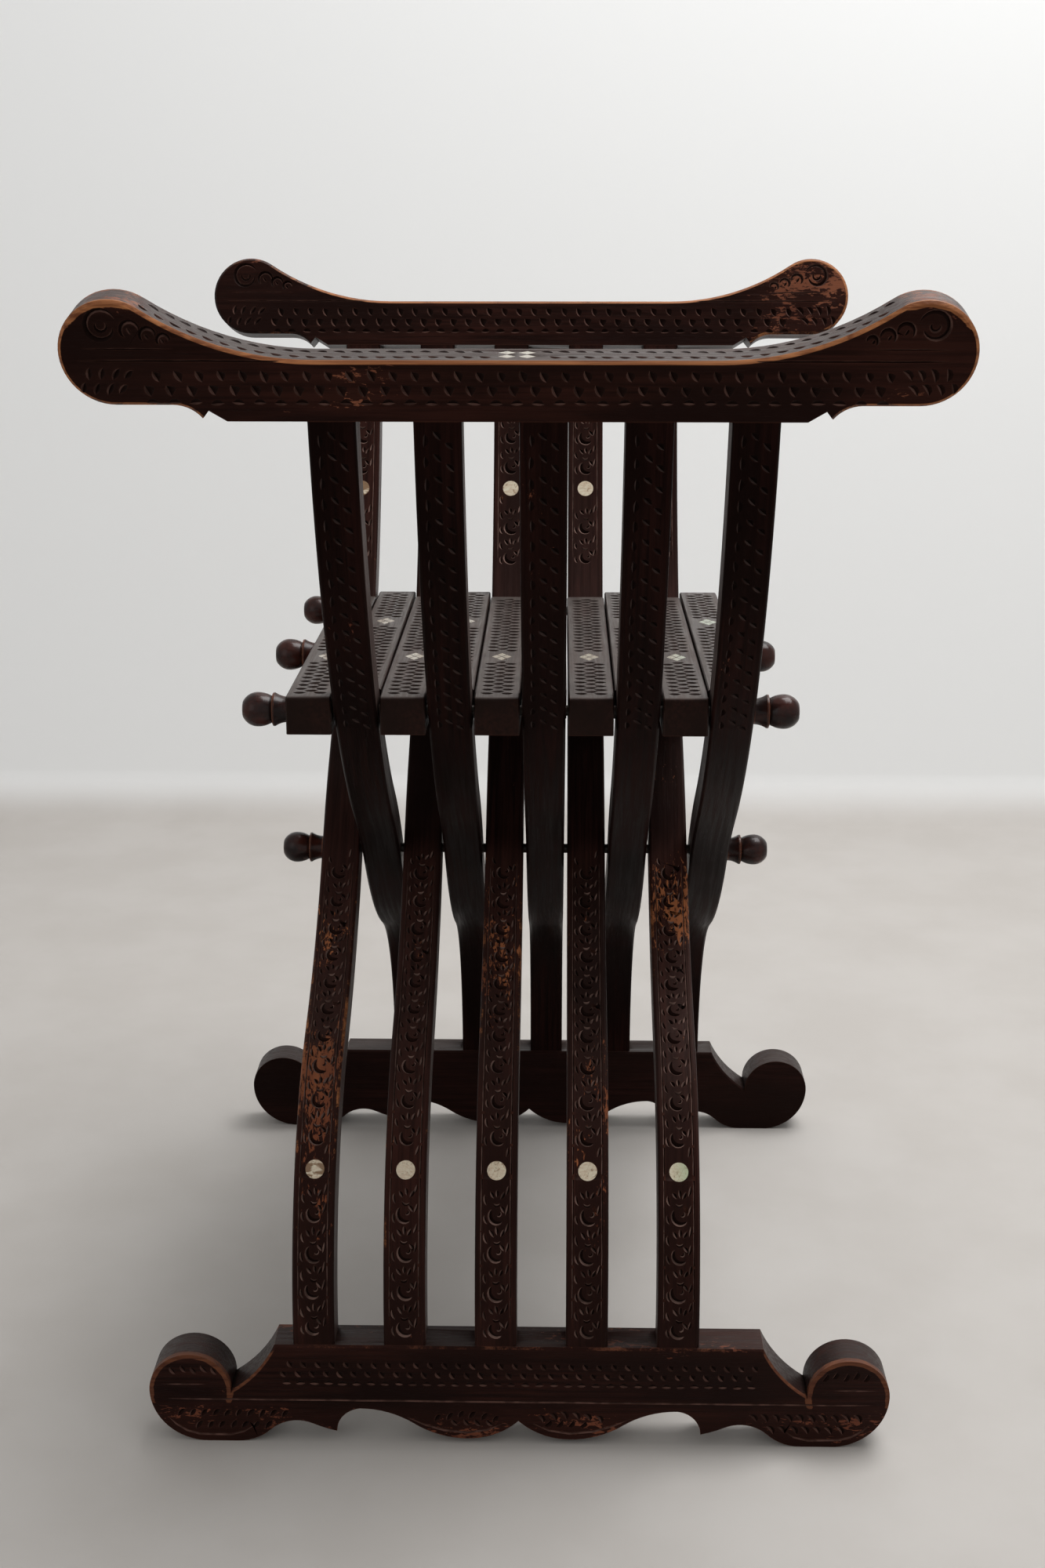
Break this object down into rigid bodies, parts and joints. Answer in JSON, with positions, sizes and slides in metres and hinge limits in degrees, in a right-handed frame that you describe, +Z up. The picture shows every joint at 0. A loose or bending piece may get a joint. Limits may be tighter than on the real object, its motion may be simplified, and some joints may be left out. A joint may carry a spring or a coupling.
{
  "type": "folding curule seat",
  "caption": "Folding wooden curule seat with carved curved slats crossing on a long rod, scrolled arms and feet, a slatted seat, turned knobs and pearl inlay.",
  "frame": {"origin": "on the floor, midway between the feet, under the middle of the main rod", "axes": "+X runs along the arms to the front, +Y across the chair from the right arm to the left arm, +Z up"},
  "size_m": [0.4516, 0.4982, 0.6626],
  "materials": {
    "carved_wood": "dark brown-black stained and waxed hardwood, worn to orange-brown on its edges",
    "turned_wood": "turned hardwood, reddish dark brown, polished",
    "iron": "plain dark iron rod",
    "pearl": "polished mother-of-pearl, milky white with a faint play of colour"
  },
  "bodies": {
    "left_frame": {"left_arm": "carved_wood", "right_foot": "carved_wood", "left_frame_slat_1": "carved_wood", "left_frame_slat_2": "carved_wood", "left_frame_slat_3": "carved_wood", "left_frame_slat_4": "carved_wood", "left_frame_slat_5": "carved_wood", "left_frame_discs": "pearl", "left_arm_inlay": "pearl", "main_rod": "iron", "main_rod_front_knob": "turned_wood", "main_rod_rear_knob": "turned_wood", "left_seat_rod": "iron", "left_seat_rod_front_knob": "turned_wood", "left_seat_rod_rear_knob": "turned_wood"},
    "right_frame": {"right_arm": "carved_wood", "left_foot": "carved_wood", "right_frame_slat_1": "carved_wood", "right_frame_slat_2": "carved_wood", "right_frame_slat_3": "carved_wood", "right_frame_slat_4": "carved_wood", "right_frame_slat_5": "carved_wood", "right_frame_discs": "pearl", "right_arm_inlay": "pearl", "right_seat_rod": "iron", "right_seat_rod_front_knob": "turned_wood", "right_seat_rod_rear_knob": "turned_wood"},
    "left_leaf": {"left_seat_slat_1": "carved_wood", "left_seat_slat_2": "carved_wood", "left_seat_slat_3": "carved_wood", "left_seat_slat_4": "carved_wood", "left_seat_slat_5": "carved_wood", "left_seat_inlay": "pearl", "centre_rod_left_pins": "iron", "centre_rod_front_knob": "turned_wood"},
    "right_leaf": {"right_seat_slat_1": "carved_wood", "right_seat_slat_2": "carved_wood", "right_seat_slat_3": "carved_wood", "right_seat_slat_4": "carved_wood", "right_seat_slat_5": "carved_wood", "right_seat_inlay": "pearl", "centre_rod_right_pins": "iron", "centre_rod_rear_knob": "turned_wood"}
  },
  "joints": [
    {"name": "fold", "type": "hinge", "parent": "left_frame", "child": "right_frame", "pos_m": [0, 0, 0.297], "axis": [-1, 0, 0], "range_deg": [0, 44]},
    {"name": "left_leaf_hinge", "type": "hinge", "parent": "left_frame", "child": "left_leaf", "pos_m": [0, 0.14031, 0.426], "axis": [-1, 0, 0], "range_deg": [0, 76.5]},
    {"name": "right_leaf_hinge", "type": "hinge", "parent": "right_frame", "child": "right_leaf", "pos_m": [0, -0.14031, 0.426], "axis": [1, 0, 0], "range_deg": [0, 76.5]}
  ],
  "couplings": [
    {"joint": "left_leaf_hinge", "follows": "fold", "ratio": 1.7353},
    {"joint": "right_leaf_hinge", "follows": "fold", "ratio": 1.7353}
  ]
}
